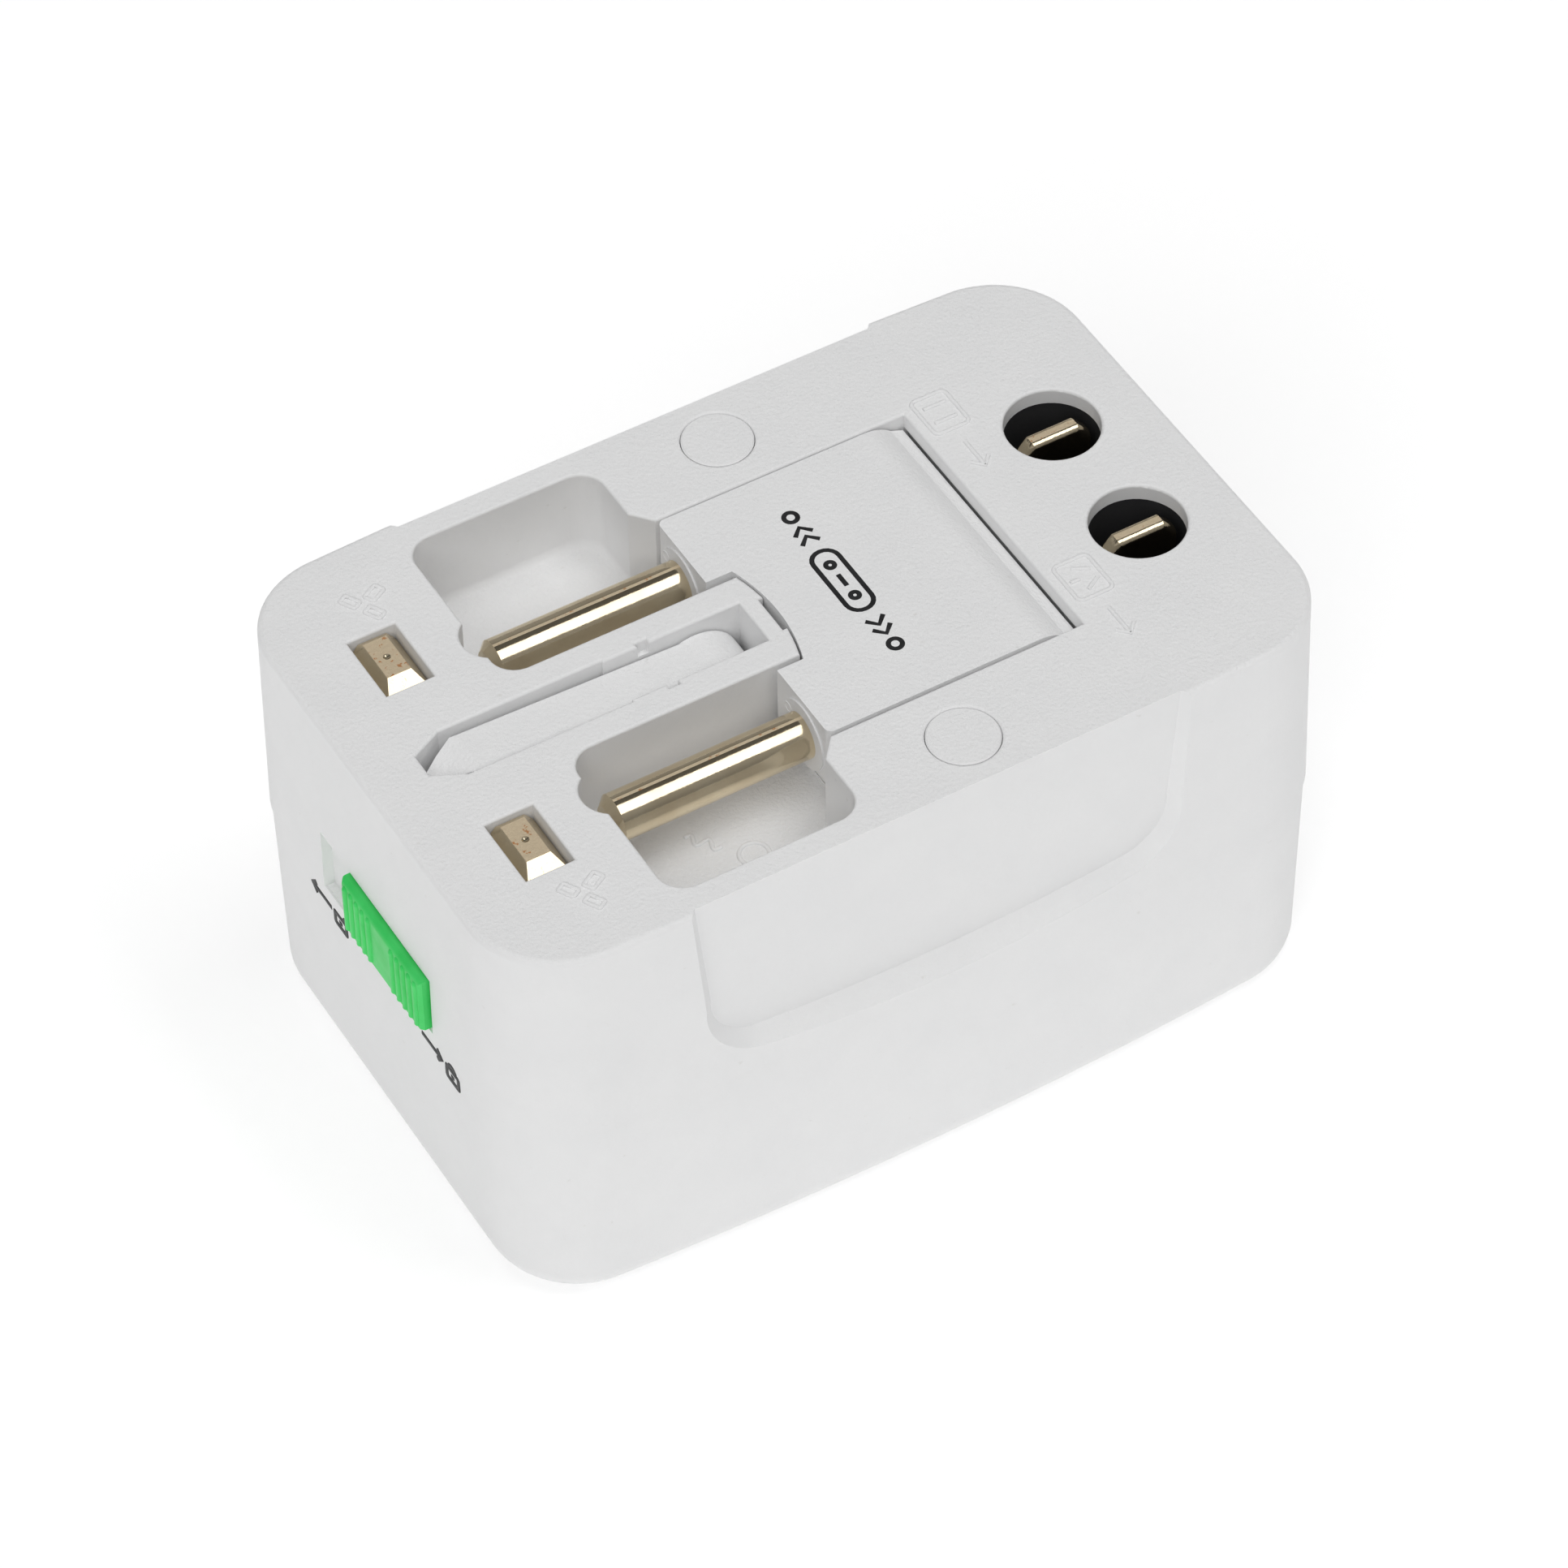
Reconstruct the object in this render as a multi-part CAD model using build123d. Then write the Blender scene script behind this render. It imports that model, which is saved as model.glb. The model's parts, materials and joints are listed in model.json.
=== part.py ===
from build123d import *
import os

# Universal travel adapter, plug face up, standing on its socket face.
#
# Frame: millimetres, +Z up, origin at the centre of the base.  +X points at the end with
# the two flat blades, and the green lock slider is on the -X end.  The part is laid out
# symmetrically about y = 0.  Depths are counted downwards from the plug face.

# ---------------------------------------------------------------- driving dimensions
HEIGHT = 40.4
PARTING_DEPTH = 19.5
PARTING_Z = HEIGHT - PARTING_DEPTH

# outer shells: half sizes at the plug face, with the draft and the bow of the long sides
TOP_HALF_LENGTH = 37.05
TOP_HALF_WIDTH = 23.5
TOP_CORNER_R = 7.9
TOP_BOW = 1.0
UPPER_DRAFT = 0.3
PARTING_BOW = 1.6
PARTING_STEP = 0.13
SEAM_GROOVE = 0.16
LOWER_DRAFT = 0.25
TOP_EDGE_R = 0.5
BOTTOM_EDGE_R = 3.0
WALL = 2.0
CAVITY_HALF_LENGTH = 35.0
CAVITY_HALF_WIDTH = 21.6
CAVITY_CORNER_R = 6.0
CEILING_Z = HEIGHT - WALL
POCKET_WALL = 1.2

# grip panels in the long sides of the upper shell
PANEL_HALF_TOP = 21.6
PANEL_HALF_LOW = 20.6
PANEL_CORNER_DEPTH = 11.0
PANEL_EDGE_DEPTH = 16.1
PANEL_MID_DEPTH = 16.9
PANEL_CORNER_X = 16.0
PANEL_FLOOR_Y = 23.45
PANEL_DRAFT_DEG = 0.8

# British pins and their carriage
UK_X = -28.9
UK_HALF_SPACING = 11.1
UK_PIN_X = 3.97
UK_PIN_Y = 6.3
UK_WINDOW_X = 4.2
UK_WINDOW_Y = 6.55
UK_TIP_DEPTH = 0.35
UK_BEVEL_SLOPE = 0.6
UK_ARM_X = (-33.6, -24.9)
UK_ARM_Y = (7.0, 15.2)
UK_ARM_TOP_Z = 20.0
UK_BASE_Z = 4.6
UK_BAR_TOP_Z = 6.9

# British earth pin, plastic, folded into its channel
EARTH_X = -7.0
EARTH_DEPTH = 5.2
EARTH_R = 3.95
EARTH_HALF_Y = 2.1
EARTH_LENGTH = 24.7
EARTH_TILT_DEG = 2.0
EARTH_SWING_DEG = 90.0 - EARTH_TILT_DEG
EARTH_AXLE_R = 1.0
EARTH_AXLE_HALF = 4.5
CHANNEL_DEPTH = 10.8
CHANNEL_TIP_X = -32.1
CHANNEL_SHOULDER_X = -29.4
CHANNEL_STEP_X = -15.0
CHANNEL_END_X = -2.75
CHANNEL_HALF_Y = 2.5
CHANNEL_NARROW_HALF_Y = 2.3
CHANNEL_TIP_HALF_Y = 1.15

# European block and its two round pins
EU_AXIS_X = 15.2
EU_R = 3.55
EU_AXIS_Z = HEIGHT - EU_R
EU_END_X = EU_AXIS_X + 3.6
EU_END_DROP = 1.45
EU_SWEEP_R = 4.4
EU_BLOCK_LEFT_X = -3.9
EU_BLOCK_HALF_Y = 13.25
EU_NOTCH_HALF_Y = 5.5
EU_PIN_R = 2.0
EU_ROOT_R = 1.7
EU_COLLAR_R = 3.05
EU_COLLAR_X = EU_BLOCK_LEFT_X - 0.15
EU_HALF_SPACING = 9.5
EU_PIN_TIP_X = -21.5
EU_PIN_ROOT_X = 9.0
EU_AXLE_R = 1.0
EU_AXLE_HALF = 15.4
EU_POCKET_HALF_Y = 13.5
EU_POCKET_RIGHT_X = 19.05
EU_POCKET_DEPTH = 7.7
RUNNING_GAP = 0.05

# finger pockets beside the round pins, and the rib between them
POCKET_LEFT_X = -22.3
POCKET_RIGHT_X = -5.4
POCKET_IN_Y = 4.9
POCKET_OUT_Y = 21.3
POCKET_DEPTH = 8.0
POCKET_CORNER_R = 2.2
POCKET_FLOOR_R = 0.8
RIM_R = 0.25
SCALLOP_X = -20.8
SCALLOP_R = 2.6
RIB_END_X = -0.75
RIB_ARC_R = 16.6
RIB_GAP = 0.15
NOTCH_DRAFT = 0.5

# flat blades for America and Australia
US_X = 28.6
US_HALF_SPACING = 6.35
US_HOLE_R = 3.95
BLADE_X = 6.35
BLADE_Y = 1.6
BLADE_TIP_DEPTH = 0.75
BLADE_ROUND_R = 0.55
TURRET_R = 3.6
TURRET_TOP_Z = HEIGHT - 18.2
US_PLATE_Z = (7.7, 10.7)
US_PLATE_X = (23.1, 34.3)
US_PLATE_HALF_Y = 12.6
SPIGOT_R = 2.0
GUIDE_X = (23.4, 34.0)
GUIDE_HALF_Y = 11.8
GUIDE_BOTTOM_Z = 28.4
GUIDE_TOP_Z = HEIGHT - 1.5
GUIDE_BORE_R = 4.05

# lock slider
SLIDER_TRAVEL = 4.6
RECESS_Y = (-9.2, 8.8)
SLIDER_RIDGES = 5
SLIDER_RIDGE_R = 0.35
SLIDER_RIDGE_PITCH = 0.95
SLIDER_FLAT_HALF = 1.5
RECESS_HEIGHT = 6.4
RECESS_FLOOR_X = -36.4
SLIDER_Y = (-8.9, 4.0)
SLIDER_Z = (PARTING_Z + 0.6, PARTING_Z + 6.2)
SLIDER_FACE_X = -38.1
STEM_Y = (-4.9, -0.9)
STEM_Z = (PARTING_Z + 1.9, PARTING_Z + 4.3)
LOCK_PLATE_X = (-34.85, -33.95)
LOCK_BAR_Z = (25.7, 27.2)
LOCK_BAR_Y = (-6.2, 1.5)
LOCK_BAR_END_X = 22.6

# socket side
SOCKET_X = 9.0
SOCKET_EARTH_X = SOCKET_X - 22.2
SOCKET_PLATE_X = (-21.0, 21.5)
SOCKET_PLATE_HALF_Y = 17.6
SOCKET_PLATE_Z = (0.3, 2.4)
SHUTTER_Z = (2.8, 4.6)
SHUTTER_HALF_X = 3.6
SHUTTER_HALF_Y = 14.6
CONTACT_Z = (5.3, 22.4)
CONTACT_HALF_X = 3.5
BRASS = 0.6
CARRIER_Z = (23.2, 25.2)
CARRIER_X = (-23.6, 22.3)
CARRIER_HALF_Y = 19.5
RIVET_X = (-18.0, -4.0, 18.0)
RIVET_Y = 11.2
RIVET_R = 1.0

# screws
SCREW_X = 4.85
SCREW_Y = 18.8
CAP_R = 3.02
CAP_DEPTH = 1.2
SCREW_HEAD_R = 2.7
SCREW_R = 1.4
BOSS_R = 3.9
SCREW_TIP_Z = 9.0


# ---------------------------------------------------------------- small helpers
def box(x, y, z):
    """Box between two values on each axis."""
    size = (x[1] - x[0], y[1] - y[0], z[1] - z[0])
    return Pos((x[0] + x[1]) / 2, (y[0] + y[1]) / 2, (z[0] + z[1]) / 2) * Box(*size)


def post(x, y, z, radius):
    """Upright cylinder between two heights."""
    return Pos(x, y, (z[0] + z[1]) / 2) * Cylinder(radius, z[1] - z[0])


def axle(x, z, half_length, radius):
    """Cylinder along Y, centred on y = 0."""
    return Pos(x, 0, z) * Rot(90, 0, 0) * Cylinder(radius, 2 * half_length)


def prism(points, z):
    """Upright prism over a plan outline."""
    face = make_face(Polyline(*points, close=True))
    return extrude(Pos(0, 0, z[0]) * face, z[1] - z[0], dir=(0, 0, 1))


def side_prism(points, half_y):
    """Prism over an outline in the XZ plane, from -half_y to +half_y."""
    face = make_face(Polyline(*[(x, 0, z) for x, z in points], close=True))
    return extrude(face, half_y, both=True, dir=(0, 1, 0))


def rounded_block(x, y, z, radius):
    """Box with its four upright edges rounded."""
    block = box(x, y, z)
    return fillet(block.edges().filter_by(Axis.Z), radius)


def both_sides(shape):
    """The shape and its mirror image across y = 0."""
    return shape + mirror(shape, Plane.XZ)


def one_solid(shape):
    """The shape as plain solids."""
    solids = shape.solids()
    return solids[0] if len(solids) == 1 else Compound(children=list(solids))


# ---------------------------------------------------------------- outer shells
def outline(grow, bow, z):
    """Plan of the body: flat ends, bowed long sides, round corners."""
    length = TOP_HALF_LENGTH + grow
    width = TOP_HALF_WIDTH + grow
    corners = [(length, width), (-length, width), (-length, -width), (length, -width)]
    edges = [
        ThreePointArc(corners[0], (0, width + bow), corners[1]),
        Line(corners[1], corners[2]),
        ThreePointArc(corners[2], (0, -width - bow), corners[3]),
        Line(corners[3], corners[0]),
    ]
    face = make_face(edges)
    face = fillet(face.vertices(), TOP_CORNER_R + grow)
    return Pos(0, 0, z) * face


def body_between(low, high):
    """Solid between two plans; each is (grow, bow, z)."""
    return loft([outline(*low), outline(*high)], ruled=True)


def grip_panel():
    """Cutter for the shallow U-shaped panel in the +Y side, with a sloped ledge."""
    over = 3.0
    left_top = (-PANEL_HALF_TOP - 0.3, over)
    left_low = (-PANEL_HALF_LOW, -PANEL_CORNER_DEPTH)
    left_edge = (-PANEL_CORNER_X, -PANEL_EDGE_DEPTH)
    middle = (0, -PANEL_MID_DEPTH)
    right_edge = (PANEL_CORNER_X, -PANEL_EDGE_DEPTH)
    right_low = (PANEL_HALF_LOW, -PANEL_CORNER_DEPTH)
    right_top = (PANEL_HALF_TOP + 0.3, over)
    bend = (PANEL_HALF_LOW - 1.1, -PANEL_EDGE_DEPTH + 1.6)
    edges = [
        Line(left_top, left_low),
        ThreePointArc(left_low, (-bend[0], bend[1]), left_edge),
        ThreePointArc(left_edge, middle, right_edge),
        ThreePointArc(right_edge, bend, right_low),
        Line(right_low, right_top),
        Line(right_top, left_top),
    ]
    face = make_face(edges)
    wall = Plane(origin=(0, PANEL_FLOOR_Y, HEIGHT), x_dir=(1, 0, 0), z_dir=(0, -1, 0))
    cutter = extrude(wall * face, -2.4, taper=-42)
    lean = Pos(0, PANEL_FLOOR_Y, HEIGHT) * Rot(PANEL_DRAFT_DEG, 0, 0)
    return lean * Pos(0, -PANEL_FLOOR_Y, -HEIGHT) * cutter


def cavity(z):
    """Inside of both shells."""
    half = (CAVITY_HALF_LENGTH, CAVITY_HALF_WIDTH)
    return rounded_block((-half[0], half[0]), (-half[1], half[1]), z, CAVITY_CORNER_R)


def earth_channel(grow, depth):
    """Channel for the folded earth pin, with its tapered end and its one step."""
    tip_x = CHANNEL_TIP_X - grow
    end_x = CHANNEL_END_X + grow
    wide = CHANNEL_HALF_Y + grow
    narrow = CHANNEL_NARROW_HALF_Y + grow
    tip = CHANNEL_TIP_HALF_Y + grow
    half = [
        (tip_x, tip),
        (CHANNEL_SHOULDER_X, wide),
        (CHANNEL_STEP_X, wide),
        (CHANNEL_STEP_X, narrow),
        (end_x, narrow),
    ]
    points = half + [(x, -y) for x, y in reversed(half)]
    return prism(points, (HEIGHT - depth, HEIGHT + 1))


def finger_pocket(grow, depth):
    """Pocket beside one round pin, on the +Y side, with the scallop at the pin's tip."""
    z = (HEIGHT - depth, HEIGHT + 1)
    x = (POCKET_LEFT_X - grow, POCKET_RIGHT_X + grow)
    y = (POCKET_IN_Y - grow, POCKET_OUT_Y + grow)
    main = rounded_block(x, y, z, POCKET_CORNER_R)
    main = fillet(main.faces().sort_by(Axis.Z)[0].edges(), POCKET_FLOOR_R)
    tip = post(SCALLOP_X, EU_HALF_SPACING, z, SCALLOP_R + grow)
    mouth = [
        (POCKET_RIGHT_X - 3, POCKET_IN_Y - grow),
        (EU_BLOCK_LEFT_X + 0.6, POCKET_IN_Y - grow),
        (EU_BLOCK_LEFT_X + 0.6, EU_POCKET_HALF_Y),
        (EU_BLOCK_LEFT_X + grow, EU_POCKET_HALF_Y + grow),
        (POCKET_RIGHT_X + grow, EU_POCKET_HALF_Y + 1.8 + grow),
        (POCKET_RIGHT_X - 3, EU_POCKET_HALF_Y + 1.8 + grow),
    ]
    return main + tip + prism(mouth, z)


def rib_end():
    """Curved end of the middle rib, where it reaches into the block's notch."""
    z = (HEIGHT - EU_POCKET_DEPTH - 0.5, HEIGHT)
    end = box((-6.0, 0), (-POCKET_IN_Y, POCKET_IN_Y), z)
    end &= post(RIB_END_X - RIB_ARC_R, 0, z, RIB_ARC_R)
    nail_slot = box((RIB_END_X - 0.5, 0), (-1.9, 1.9), (HEIGHT - 2.5, HEIGHT + 1))
    return end - nail_slot


def screw_column(z):
    """Outside of one screw boss on the +Y side."""
    return post(SCREW_X, SCREW_Y, z, BOSS_R)


def make_upper_shell():
    shell = body_between((UPPER_DRAFT, PARTING_BOW, PARTING_Z), (0, TOP_BOW, HEIGHT))
    top_edges = shell.faces().sort_by(Axis.Z)[-1].edges()
    shell = fillet(top_edges, TOP_EDGE_R)
    shell -= both_sides(grip_panel())
    shell -= cavity((PARTING_Z - 1, CEILING_Z))

    inside = cavity((PARTING_Z, CEILING_Z + 0.5))
    block_z = (HEIGHT - EU_POCKET_DEPTH, HEIGHT + 1)
    block_x = (EU_BLOCK_LEFT_X - 0.35, EU_POCKET_RIGHT_X)
    block_y = (-EU_POCKET_HALF_Y, EU_POCKET_HALF_Y)
    w = POCKET_WALL
    jacket = box(
        (block_x[0] - w, block_x[1] + w),
        (block_y[0] - w, block_y[1] + w),
        (block_z[0] - w, CEILING_Z + 0.2),
    )
    jacket += both_sides(finger_pocket(w, POCKET_DEPTH + w))
    jacket += earth_channel(w, CHANNEL_DEPTH + w)
    jacket += box((-14.0, -2.0), (-4.9, 4.9), (HEIGHT - CHANNEL_DEPTH - w, CEILING_Z))
    jacket += both_sides(screw_column((PARTING_Z, CEILING_Z + 0.2)))
    hub = axle(EU_AXIS_X, EU_AXIS_Z, EU_AXLE_HALF + 0.8, 2.6)
    jacket += hub - box((0, 30), (-14, 14), (0, 50))
    jacket &= inside
    shell += jacket

    shell -= box(block_x, block_y, block_z)
    sweep = axle(EU_AXIS_X, EU_AXIS_Z, EU_POCKET_HALF_Y, EU_SWEEP_R)
    shell -= sweep & box((EU_AXIS_X, EU_AXIS_X + EU_SWEEP_R), block_y, block_z)
    shell -= both_sides(finger_pocket(0, POCKET_DEPTH))
    shell += rib_end()
    shell -= earth_channel(0, CHANNEL_DEPTH)
    shell -= both_sides(nail_notch())
    window_z = (CEILING_Z - 1, HEIGHT + 1)
    window_x = (UK_X - UK_WINDOW_X / 2, UK_X + UK_WINDOW_X / 2)
    window_y = (UK_HALF_SPACING - UK_WINDOW_Y / 2, UK_HALF_SPACING + UK_WINDOW_Y / 2)
    shell -= both_sides(box(window_x, window_y, window_z))
    shell -= both_sides(post(US_X, US_HALF_SPACING, window_z, US_HOLE_R))
    seat_x = (GUIDE_X[0] - 0.1, GUIDE_X[1] + 0.1)
    seat_y = (-GUIDE_HALF_Y - 0.1, GUIDE_HALF_Y + 0.1)
    shell -= rounded_block(seat_x, seat_y, (CEILING_Z - 0.5, GUIDE_TOP_Z), 4.1)
    head_z = HEIGHT - CAP_DEPTH
    screw_cut = post(SCREW_X, SCREW_Y, (head_z, HEIGHT + 1), CAP_R)
    screw_cut += post(SCREW_X, SCREW_Y, (head_z - 2.6, HEIGHT), SCREW_HEAD_R + 0.15)
    screw_cut += post(SCREW_X, SCREW_Y, (PARTING_Z - 1, HEIGHT), SCREW_R + 0.15)
    shell -= both_sides(screw_cut)
    shell -= axle(EU_AXIS_X, EU_AXIS_Z, EU_AXLE_HALF, EU_AXLE_R)
    shell -= axle(EARTH_X, HEIGHT - EARTH_DEPTH, EARTH_AXLE_HALF, EARTH_AXLE_R)

    recess_z = (PARTING_Z - 1, PARTING_Z + RECESS_HEIGHT)
    shell -= box((-45, RECESS_FLOOR_X), RECESS_Y, recess_z)
    slot_y = (STEM_Y[0] - 0.3, STEM_Y[1] + SLIDER_TRAVEL + 0.3)
    slot_z = (STEM_Z[0] - 0.25, STEM_Z[1] + 0.25)
    shell -= box((-37, -34.5), slot_y, slot_z)
    return one_solid(soften_rims(shell))


def soften_rims(shell):
    """Small radius on the rim of every opening in the plug face."""
    tops = shell.faces().filter_by_position(Axis.Z, HEIGHT - 0.01, HEIGHT + 0.01)
    rims = [edge for wire in tops.sort_by(SortBy.AREA)[-1].inner_wires() for edge in wire.edges()]
    return fillet(rims, RIM_R)


def nail_notch():
    """Small notch in the channel's rim beside the earth pin, on the +Y side."""
    y = (CHANNEL_NARROW_HALF_Y - 0.1, CHANNEL_NARROW_HALF_Y + 0.45)
    return box((-11.9, -10.9), y, (HEIGHT - 1.2, HEIGHT + 1))


def seam_groove(grow):
    """Shallow step round the top rim of the lower shell, which shows as the seam."""
    z = PARTING_Z - SEAM_GROOVE
    outside = extrude(outline(grow + 1, PARTING_BOW, z), 1, dir=(0, 0, 1))
    return outside - extrude(outline(grow - SEAM_GROOVE, PARTING_BOW, z), 1, dir=(0, 0, 1))


def make_lower_shell():
    top_grow = UPPER_DRAFT - PARTING_STEP
    shell = body_between((top_grow - LOWER_DRAFT, PARTING_BOW - 0.1, 0), (top_grow, PARTING_BOW, PARTING_Z))
    bottom_edges = shell.faces().sort_by(Axis.Z)[0].edges()
    shell = fillet(bottom_edges, BOTTOM_EDGE_R)
    shell -= seam_groove(top_grow)
    shell -= cavity((SOCKET_PLATE_Z[1], PARTING_Z + 1))
    boss = screw_column((SOCKET_PLATE_Z[1] - 0.2, PARTING_Z))
    boss &= cavity((0, PARTING_Z))
    shell += both_sides(boss)
    shell -= both_sides(post(SCREW_X, SCREW_Y, (SCREW_TIP_Z - 0.5, PARTING_Z + 1), SCREW_R))
    seat_y = (-SOCKET_PLATE_HALF_Y, SOCKET_PLATE_HALF_Y)
    seat = rounded_block(SOCKET_PLATE_X, seat_y, (-1, SOCKET_PLATE_Z[1] + 0.1), 4.0)
    shell -= seat
    spring_post = box((26.2, 27.6), (-2.6, 2.6), (SOCKET_PLATE_Z[1] - 0.2, 5.9))
    shell += spring_post
    return one_solid(shell)


def aperture(z):
    """One live or neutral aperture on the +Y side, for every plug pattern."""
    british = box((SOCKET_X - 2.3, SOCKET_X + 2.3), (7.7, 14.5), z)
    round_pin = post(SOCKET_X, 9.5, z, 2.6)
    american = box((SOCKET_X - 3.3, SOCKET_X + 3.3), (5.4, 7.3), z)
    slanted = Pos(SOCKET_X - 0.4, 7.4, (z[0] + z[1]) / 2) * Rot(0, 0, -30) * Box(6.6, 1.9, z[1] - z[0])
    return british + round_pin + american + slanted


def make_socket_plate():
    gap = 0.1
    x = (SOCKET_PLATE_X[0] + gap, SOCKET_PLATE_X[1] - gap)
    y = (-SOCKET_PLATE_HALF_Y + gap, SOCKET_PLATE_HALF_Y - gap)
    plate = rounded_block(x, y, SOCKET_PLATE_Z, 3.9)
    plate = chamfer(plate.faces().sort_by(Axis.Z)[0].edges(), 0.3)
    z = (SOCKET_PLATE_Z[0] - 1, SOCKET_PLATE_Z[1] + 1)
    plate -= both_sides(aperture(z))
    earth = rounded_block((SOCKET_EARTH_X - 4.4, SOCKET_EARTH_X + 4.4), (-2.4, 2.4), z, 0.5)
    plate -= earth
    return one_solid(plate)


# ---------------------------------------------------------------- fixed pieces inside
def make_screw_caps():
    z = (HEIGHT - CAP_DEPTH, HEIGHT)
    cap = post(SCREW_X, SCREW_Y, z, CAP_R - 0.06)
    cap = chamfer(cap.faces().sort_by(Axis.Z)[-1].edges(), 0.12)
    return one_solid(both_sides(cap))


def make_housing_screws():
    head_z = (HEIGHT - CAP_DEPTH - 2.5, HEIGHT - CAP_DEPTH - 0.3)
    screw = post(SCREW_X, SCREW_Y, head_z, SCREW_HEAD_R)
    screw += post(SCREW_X, SCREW_Y, (SCREW_TIP_Z, head_z[0] + 0.1), SCREW_R)
    for turn in (0, 90):
        slot = Box(3.0, 0.7, 1.4)
        screw -= Pos(SCREW_X, SCREW_Y, head_z[1]) * Rot(0, 0, turn) * slot
    return one_solid(both_sides(screw))


def make_contact_carrier():
    plate = rounded_block(CARRIER_X, (-CARRIER_HALF_Y, CARRIER_HALF_Y), CARRIER_Z, 2.0)
    plate -= both_sides(post(SCREW_X, SCREW_Y, (0, 50), BOSS_R + 0.3))
    for x in (-16.0, 18.0):
        foot = rounded_block((x - 1.6, x + 1.6), (15.6, 18.8), (SOCKET_PLATE_Z[1], CARRIER_Z[0] + 0.1), 1.0)
        plate += both_sides(foot)
    plate -= both_sides(rivet_shanks((0, HEIGHT), 0.02))
    return one_solid(plate)


def rivet_shanks(z, grow):
    """Upright shanks through the +Y bus bar, or with a little growth the holes for them."""
    shanks = [post(x, RIVET_Y, z, RIVET_R + grow) for x in RIVET_X]
    return shanks[0] + shanks[1] + shanks[2]


def bus_contact():
    """Brass bus bar with its pair of socket leaves, on the +Y side."""
    strip_z = (CONTACT_Z[1], CARRIER_Z[0])
    bar = box((CARRIER_X[0] + 0.6, CARRIER_X[1] - 0.6), (9.0, 13.4), strip_z)
    bridge = box((SOCKET_X - 4.1, SOCKET_X + 4.1), (5.4, 14.6), strip_z)
    contact = bar + bridge
    for side in (-1, 1):
        near = SOCKET_X + side * CONTACT_HALF_X
        far = near + side * BRASS
        leaf = box((min(near, far), max(near, far)), (5.4, 14.6), (CONTACT_Z[0], strip_z[1]))
        contact += leaf
    return contact - rivet_shanks((0, HEIGHT), 0.02)


def make_live_contact():
    return one_solid(bus_contact())


def make_neutral_contact():
    return one_solid(mirror(bus_contact(), Plane.XZ))


def make_contact_rivets():
    rivets = rivet_shanks((CONTACT_Z[1] - 0.5, CARRIER_Z[1] + 0.25), 0)
    for x in RIVET_X:
        rivets += post(x, RIVET_Y, (CONTACT_Z[1] - 0.5, CONTACT_Z[1]), RIVET_R + 0.7)
    return one_solid(both_sides(rivets))


def make_blade_guide():
    """Black guide block with the two bores that the blade turrets rise in."""
    z = (GUIDE_BOTTOM_Z, GUIDE_TOP_Z)
    guide = rounded_block(GUIDE_X, (-GUIDE_HALF_Y, GUIDE_HALF_Y), z, 4.0)
    guide -= both_sides(post(US_X, US_HALF_SPACING, (z[0] - 1, z[1] + 1), GUIDE_BORE_R))
    return one_solid(guide)


def make_eu_axle():
    return one_solid(axle(EU_AXIS_X, EU_AXIS_Z, EU_AXLE_HALF, EU_AXLE_R))


def make_earth_axle():
    return one_solid(axle(EARTH_X, HEIGHT - EARTH_DEPTH, EARTH_AXLE_HALF, EARTH_AXLE_R))


def make_eu_wipers():
    """Spring leaves on the pocket floor under the block's hinge end."""
    floor_z = HEIGHT - EU_POCKET_DEPTH
    leaf = box((9.0, 18.6), (8.2, 10.8), (floor_z, floor_z + 0.25))
    return one_solid(both_sides(leaf))


# ---------------------------------------------------------------- socket shutter
def make_socket_shutter():
    x = (SOCKET_X - SHUTTER_HALF_X, SOCKET_X + SHUTTER_HALF_X)
    wing = box(x, (4.9, SHUTTER_HALF_Y), SHUTTER_Z)
    bridge = box((x[1] - 0.4, x[1] + 3.2), (-SHUTTER_HALF_Y, SHUTTER_HALF_Y), SHUTTER_Z)
    shutter = both_sides(wing) + bridge
    seat = box((x[1] + 1.0, x[1] + 4.4), (-2.4, 2.4), (SHUTTER_Z[0], SHUTTER_Z[1] + 1.2))
    return one_solid(shutter + seat)


def make_shutter_spring():
    """Small coil between the shutter and the post in the lower shell."""
    start_x = SOCKET_X + SHUTTER_HALF_X + 4.5
    end_x = 26.1
    wire = 0.25
    radius = 1.2
    coil = Helix(pitch=(end_x - start_x - 2 * wire) / 7, height=end_x - start_x - 2 * wire, radius=radius)
    section = Plane(origin=coil @ 0, z_dir=coil % 0) * Circle(wire)
    spring = sweep(section, path=coil, is_frenet=True)
    return one_solid(Pos(start_x + wire, 0, 4.3) * Rot(0, 90, 0) * spring)


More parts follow.
